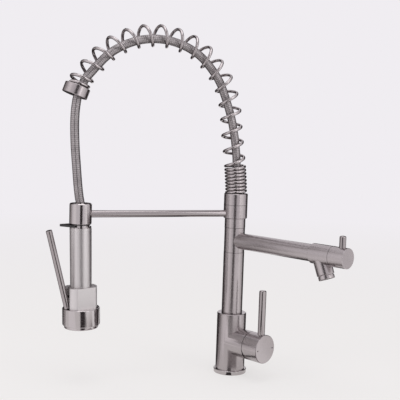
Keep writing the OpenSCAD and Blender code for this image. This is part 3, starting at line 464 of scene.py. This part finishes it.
# The hose: "off" moves it across the spring by shares of its play, "drop" is its free part in mm
hoseShape = {
    "radius": 6.8, "dropRadius": 6.95, "start": 6.0, "stop": 22.25, "freeGap": 0.3, "rings": 30,
    "springSides": 8, "smooth": 6,
    "off": [(0, 0), (0.04, 0), (0.09, 0.35), (0.14, 0.75), (0.2, 0.8), (0.25, 0.45), (0.3, -0.4),
            (0.35, -0.95), (0.45, -1), (0.75, -1), (0.9, -0.95), (1, -0.9)],
    "drop": [(272.6, 463), (275.6, 448), (277, 430), (277, 408), (275.6, 380), (273, 350),
             (270.4, 322), (268, 303)],
    "dockHeight": 267.95, "ferruleFoot": 15.3, "ferruleLength": 10.6, "ferruleLean": 5.0,
}


def smoothLine(points, first, last, steps):
    before = points[1] - 2 * (points[1] - points[0]).length * first
    after = points[-2] + 2 * (points[-1] - points[-2]).length * last
    guide = [before, *points, after]
    line = []
    for i in range(1, len(guide) - 2):
        a, b, c, d = guide[i - 1:i + 3]
        for k in range(steps):
            t = k / steps
            line.append(0.5 * (2 * b + (c - a) * t + (2 * a - 5 * b + 4 * c - d) * t * t
                               + (3 * b - 3 * c + d - a) * t ** 3))
    return [*line, points[-1]]


def between(table, x):
    if x <= table[0][0]:
        return table[0][1]
    for (x0, y0), (x1, y1) in zip(table, table[1:]):
        if x <= x1:
            return y0 + (y1 - y0) * (x - x0) / (x1 - x0)
    return table[-1][1]


class Arch:
    def __init__(self, route):
        down = Vector((math.sin(glandTilt), -math.cos(glandTilt)))
        places = [Vector((u * route["reach"], route["ledge"] + z * route["rise"]))
                  for u, z in route["shares"]]
        line = smoothLine(places, Vector((0, 1)), down, route["steps"])
        line.append(places[-1] + route["recess"] * down)
        self.out, self.up, run = [], [], 0.0
        for i, place in enumerate(line):
            run += (place - line[i - 1]).length if i else 0.0
            self.out.append((run, place.x))
            self.up.append((run, place.y))
        self.length = run

    def at(self, run):
        return Vector((between(self.out, run), between(self.up, run)))

    def outward(self, run):
        probe = archRoute["probe"]
        step = self.at(min(run + probe, self.length)) - self.at(max(run - probe, 0.0))
        step.normalize()
        return Vector((-step.y, step.x))

    def around(self, run, angle, radius):
        flat = self.at(run) + radius * math.cos(angle) * self.outward(run)
        return Vector((-radius * math.sin(angle), -flat.x, flat.y)) * mm


arch = Arch(archRoute)


def inSpace(flat):
    return Vector((0, -flat.x, flat.y)) * mm


def springLine(turns):
    wire, ends = turns["wire"], turns["endSteps"]
    radius = (turns["outer"] - wire) / 2
    bend = wire * turns["bendShare"]
    lead = wire + bend
    total = turns["close"] + turns["open"] + turns["end"]
    coil = arch.length - 2 * lead
    tight = turns["closePitch"] * turns["close"] + turns["endPitch"] * turns["end"]
    openPitch = (coil - tight) / turns["open"]

    def eased(x):
        x = min(max(x, 0.0), 1.0)
        return x * x * (3 - 2 * x)

    def pitch(n):
        opened = eased((n - turns["close"]) / turns["ease"] + 0.5)
        closed = eased((n - turns["close"] - turns["open"]) / turns["ease"] + 0.5)
        rise = turns["closePitch"] + (openPitch - turns["closePitch"]) * opened
        return rise + (turns["endPitch"] - openPitch) * closed

    steps = round(total * turns["perTurn"])
    turnStep = total / steps
    rises = [0.0]
    for i in range(steps):
        rises.append(rises[-1] + pitch((i + 0.5) * turnStep) * turnStep)
    fix = coil / rises[-1]
    start = math.radians(turns["startAngle"])
    swing = bend / radius
    shares = [k / ends for k in range(1, ends + 1)]
    last = start + 2 * math.pi * total
    way = [(wire * share, start - swing) for share in (0.0, *shares)]
    way += [(wire + bend * share, start - swing * (1 - share) ** turns["bendEase"]) for share in shares]
    way += [(lead + rises[i] * fix, start + 2 * math.pi * i * turnStep) for i in range(1, steps + 1)]
    way += [(arch.length - lead + bend * share, last + swing * (1 - (1 - share) ** turns["bendEase"]))
            for share in shares]
    way += [(arch.length - wire * (1 - share), last + swing) for share in shares]
    return [(arch.around(run, angle, radius), arch.around(run, angle, 0)) for run, angle in way]


# Sweeps a ring of edges along a line of points; side(i) points to the ring's own zero
def sweep(line, sides, radius, side):
    bm = bmesh.new()

    def frameAt(i):
        step = (line[min(i + 1, len(line) - 1)] - line[max(i - 1, 0)]).normalized()
        inward = side(i)
        inward = (inward - inward.dot(step) * step).normalized()
        turned = Matrix((inward, step.cross(inward), step)).transposed().to_4x4()
        return Matrix.Translation(line[i]) @ turned

    ring = bmesh.ops.create_circle(bm, cap_ends=True, segments=sides, radius=radius)["verts"]
    last = frameAt(0)
    bmesh.ops.transform(bm, matrix=last, verts=ring)
    edges = list(bm.edges)
    for i in range(1, len(line)):
        made = bmesh.ops.extrude_edge_only(bm, edges=edges)["geom"]
        verts = [g for g in made if isinstance(g, bmesh.types.BMVert)]
        edges = [g for g in made if isinstance(g, bmesh.types.BMEdge)]
        now = frameAt(i)
        bmesh.ops.transform(bm, matrix=now @ last.inverted(), verts=verts)
        last = now
    bmesh.ops.holes_fill(bm, edges=edges, sides=sides)
    bmesh.ops.recalc_face_normals(bm, faces=bm.faces)
    return bm


springWay = springLine(springTurns)
coil = sweep([point for point, _ in springWay], springTurns["sides"], springTurns["wire"] / 2 * mm,
             lambda i: springWay[i][1] - springWay[i][0])
coilMesh = meshFrom(coil, "springCoil", springTurns["smoothAngle"])
addPiece("springCoil", coilMesh, "dock", "wire", ("arch_spring",))
print("spring wound:", len(springWay), "rings")


def runsAlong(line):
    runs = [0.0]
    for a, b in zip(line, line[1:]):
        runs.append(runs[-1] + (b - a).length)
    return runs


def densify(line, spacing):
    runs = runsAlong(line)
    tables = [[(runs[i], line[i][k]) for i in range(len(line))] for k in range(3)]
    count = max(2, round(runs[-1] / spacing))
    return [Vector([between(table, runs[-1] * i / count) for table in tables]) for i in range(count + 1)]


def hoseLines(shape):
    wire, outer = springTurns["wire"], springTurns["outer"]
    inside = (outer - wire) / 2 * math.cos(math.pi / shape["springSides"]) - wire / 2
    play = inside - shape["radius"] - shape["freeGap"]
    stop = arch.length - shape["stop"]
    flat = []
    for i in range(shape["rings"] + 1):
        run = shape["start"] + (stop - shape["start"]) * i / shape["rings"]
        flat.append(arch.at(run) + play * between(shape["off"], run / arch.length) * arch.outward(run))
    drop = [Vector(p) for p in shape["drop"]]
    flat.append(drop[0])
    into = (drop[0] - flat[-2]).normalized()
    tilt, slope = handsetTilt, math.radians(shape["ferruleLean"])
    up = Vector((math.sin(slope), math.cos(slope)))
    foot = Vector((archRoute["reach"], shape["dockHeight"])) + shape["ferruleLength"] * up
    foot += shape["ferruleFoot"] * Vector((math.sin(tilt), math.cos(tilt)))
    down = smoothLine([*drop, foot], into, -up, shape["smooth"])
    archWay = smoothLine(flat, (flat[1] - flat[0]).normalized(), into, shape["smooth"])
    return [inSpace(p) for p in archWay], [inSpace(p) for p in down]


braidRelief = {"sides": 44, "spacing": 1.05, "height": 0.22, "smoothAngle": 60}


# Fine ribs along the hose, with every second side a little higher; its finish draws the weave, with painted
# shade in the weave's hollows
def braidedHose(name, line, radius, body, replaced):
    relief = braidRelief
    points = densify(line, relief["spacing"] * mm)
    sides = relief["sides"]
    bm = sweep(points, sides, radius * mm, lambda i: Vector((1, 0, 0)))
    uvLayer = bm.loops.layers.uv.new("alongHose")
    runs = runsAlong(points)
    lift = relief["height"] / 2 * mm
    bm.verts.ensure_lookup_table()
    circumference = 2 * math.pi * radius * mm
    for vert in bm.verts:
        i, k = divmod(vert.index, sides)
        if 0 < i < len(points) - 1:
            vert.co += (vert.co - points[i]).normalized() * (lift if k % 2 else -lift)
    for face in bm.faces:
        if len(face.verts) != 4:
            continue
        places = [divmod(v.index, sides) for v in face.verts]
        wraps = max(k for _, k in places) - min(k for _, k in places) > 1
        for loop, (i, k) in zip(face.loops, places):
            turnShare = (k + sides if wraps and k == 0 else k) / sides
            loop[uvLayer].uv = (turnShare, runs[i] / circumference)
    return addPiece(name, meshFrom(bm, name, relief["smoothAngle"]), body, "braid", replaced)


archWay, dropWay = hoseLines(hoseShape)
braidedHose("archBraid", archWay, hoseShape["radius"], "dock", ("arch_hose",))
dropHose = braidedHose("dropBraid", dropWay, hoseShape["dropRadius"], None, ("hose_drop",))
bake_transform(dropHose)
print("hose braided")

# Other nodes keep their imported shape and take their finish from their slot
slotFinish = {
    "brushed": "upright", "satin": "satin", "polished": "polished", "wire": "wire", "braid": "dockNickel",
    "brass": "brass", "rubber": "rubber", "black": "black", "ivory": "ivory", "gray_plastic": "grey",
    "dark_mark": "coldMark",
}
for part in frame["record"]["subparts"]:
    wear(nodes[part["node"]], slotFinish[part["material_slot"]])
wear(nodes["hot_index"], "hotMark")
# Painted shade: the plunger, slip rings and bushes show only through gaps, so they wear the near-black steel
# that stands in for the shadow there
for node in ("valve_plunger", "slip_rings", "collar_bushes", "hub_bushes"):
    wear(nodes[node], "shadeSteel")

# Studio: pale floor and air, three soft boxes, and bays that only gloss sees, for the bands of the metal
columnPlace, handsetPlace = (0, 0), (0, -0.265)
studio = {
    "pale": (0.871, 0.847, 0.880), "floor": (0.871, 0.855, 0.847), "ambient": 0.84, "floorCatch": 0.7,
    "floorNear": 0.5, "floorFade": 2.0, "floorSize": 30.0, "floorDrop": 0.0004,
    "boxes": [
        {"name": "boxLeft", "from": (0.55, -1.9, 1.0), "size": (0.8, 1.7), "power": 6.5},
        {"name": "boxRight", "from": (1.65, 0.95, 0.9), "size": (0.75, 1.6), "power": 5.5},
        {"name": "boxTop", "from": (0.4, -0.3, 2.2), "size": (1.3, 1.3), "power": 9.0},
    ],
    "aim": (0.0, -0.12, 0.28), "bayLift": 0.0005, "baySteps": 16,
    # glow, centre, inner and outer radius, height of the wall at the outer one, two angles from +X
    "bays": {
        "bayColumn": ("dark", columnPlace, (0.4, 0.77), 1.2, (-36, -12)),
        "bayNear": ("shade", columnPlace, (0.06, 0.30), 0, (-36, 24)),
        "bayFoot": ("dark", columnPlace, (0.0285, 0.07), 0, (-36, -14)),
        "bayHandset": ("dark", handsetPlace, (0.2, 0.70), 1.2, (-14, 9)),
        "bayLeft": ("dark", columnPlace, (0.035, 1.5), 1.8, (-184, -130)),
        "bayFade": ("half", columnPlace, (0.035, 1.5), 1.8, (-130, -105)),
        "bayLow": ("dark", handsetPlace, (0.2, 0.75), 0, (-190, -126)),
        "bayRight": ("dark", columnPlace, (0.035, 1.5), 1.8, (92, 150)),
        "lightLeft": ("fair", columnPlace, (0.15, 1.7), 1.8, (-90, -62)),
        "lightRight": ("light", columnPlace, (0.15, 1.7), 1.8, (34, 62)),
        "lightFloor": ("light", columnPlace, (0.45, 1.05), 0, (-8, 32)),
    },
    "glows": {"dark": (0.05, 0.043, 0.045), "shade": (0.28, 0.25, 0.255), "half": (0.5, 0.47, 0.475),
              "fair": (1.03, 1.0, 1.02), "light": (1.15, 1.14, 1.15)},
}


def facing(place):
    back = (Vector(place) - Vector(studio["aim"])).normalized()
    return Matrix.Translation(place) @ back.to_track_quat("Z", "Y").to_matrix().to_4x4()


# 1 where the camera, gloss or glass looks, 0 where the light only bounces
def seenRays(sheet):
    path = sheet.tree.nodes.new("ShaderNodeLightPath")
    camera, glossy, clear = (Value(sheet, path.outputs["Is " + kind + " Ray"])
                             for kind in ("Camera", "Glossy", "Transmission"))
    return camera.atLeast(glossy).atLeast(clear)


def paleMaterial():
    material, sheet = newSheet("palePaper")
    seen = seenRays(sheet)
    far = sheet.node("ShaderNodeVectorMath", {"operation": "LENGTH"}, output="Value", _0=sheet.place())
    fade = ((far - studio["floorNear"]) * (1 / studio["floorFade"])).atMost(1.0).atLeast(0.0)
    catch = fade * (1.0 - studio["floorCatch"]) + studio["floorCatch"]
    paper = sheet.mixColour(fade, rgba(studio["floor"]), rgba(studio["pale"]))
    matt = sheet.node("ShaderNodeBsdfDiffuse", Color=paper)
    glow = sheet.node("ShaderNodeEmission", Color=paper, Strength=1.0)
    mixed = sheet.node("ShaderNodeMixShader", _0=seen * catch, _1=matt, _2=glow)
    sheet.node("ShaderNodeOutputMaterial", Surface=mixed)
    material.cycles.emission_sampling = "NONE"
    return material


def addFloor():
    bm = bmesh.new()
    bmesh.ops.create_grid(bm, x_segments=1, y_segments=1, size=studio["floorSize"])
    bmesh.ops.translate(bm, vec=(0, 0, -studio["floorDrop"]), verts=bm.verts)
    mesh = bpy.data.meshes.new("studioFloor")
    bm.to_mesh(mesh)
    bm.free()
    mesh.materials.append(paleMaterial())
    putInScene("studioFloor", mesh)


def addWorld():
    world = bpy.data.worlds.new("studioAir")
    world.use_nodes = True
    scene.world = world
    sheet = Sheet(world.node_tree)
    strength = seenRays(sheet) * (1.0 - studio["ambient"]) + studio["ambient"]
    air = sheet.node("ShaderNodeBackground", Color=rgba(studio["pale"]), Strength=strength)
    sheet.node("ShaderNodeOutputWorld", Surface=air)


def addBox(setup):
    lamp = bpy.data.lights.new(setup["name"], "AREA")
    lamp.shape = "RECTANGLE"
    lamp.size, lamp.size_y = setup["size"]
    lamp.energy = setup["power"]
    putInScene(setup["name"], lamp).matrix_world = facing(setup["from"])


def addBay(name, material, place, radii, height, angles):
    bm = bmesh.new()
    start, stop = (math.radians(a) for a in angles)
    centre = Vector((*place, studio["bayLift"]))
    ray = Vector((math.cos(start), math.sin(start), 0))
    corners = [centre + radius * ray for radius in radii]
    if height:
        corners.append(corners[1] + Vector((0, 0, height)))
    verts = [bm.verts.new(c) for c in corners]
    edges = [bm.edges.new(pair) for pair in zip(verts, verts[1:])]
    bmesh.ops.spin(bm, geom=[*verts, *edges], cent=centre, axis=(0, 0, 1), angle=stop - start,
                   steps=studio["baySteps"])
    mesh = bpy.data.meshes.new(name)
    bm.to_mesh(mesh)
    bm.free()
    mesh.materials.append(material)
    bay = putInScene(name, mesh)
    bay.visible_camera = False
    bay.visible_diffuse = False
    bay.visible_shadow = False


def cloth(name):
    material, sheet = newSheet(name + "Cloth")
    glow = sheet.node("ShaderNodeEmission", Color=rgba(studio["glows"][name]), Strength=1.0)
    sheet.node("ShaderNodeOutputMaterial", Surface=glow)
    material.cycles.emission_sampling = "NONE"
    return material


addFloor()
addWorld()
for setup in studio["boxes"]:
    addBox(setup)
cloths = {name: cloth(name) for name in studio["glows"]}
for name, (glow, place, radii, height, angles) in studio["bays"].items():
    addBay(name, cloths[glow], place, radii, height, angles)
scene.view_settings.view_transform = "Standard"
print("studio set")
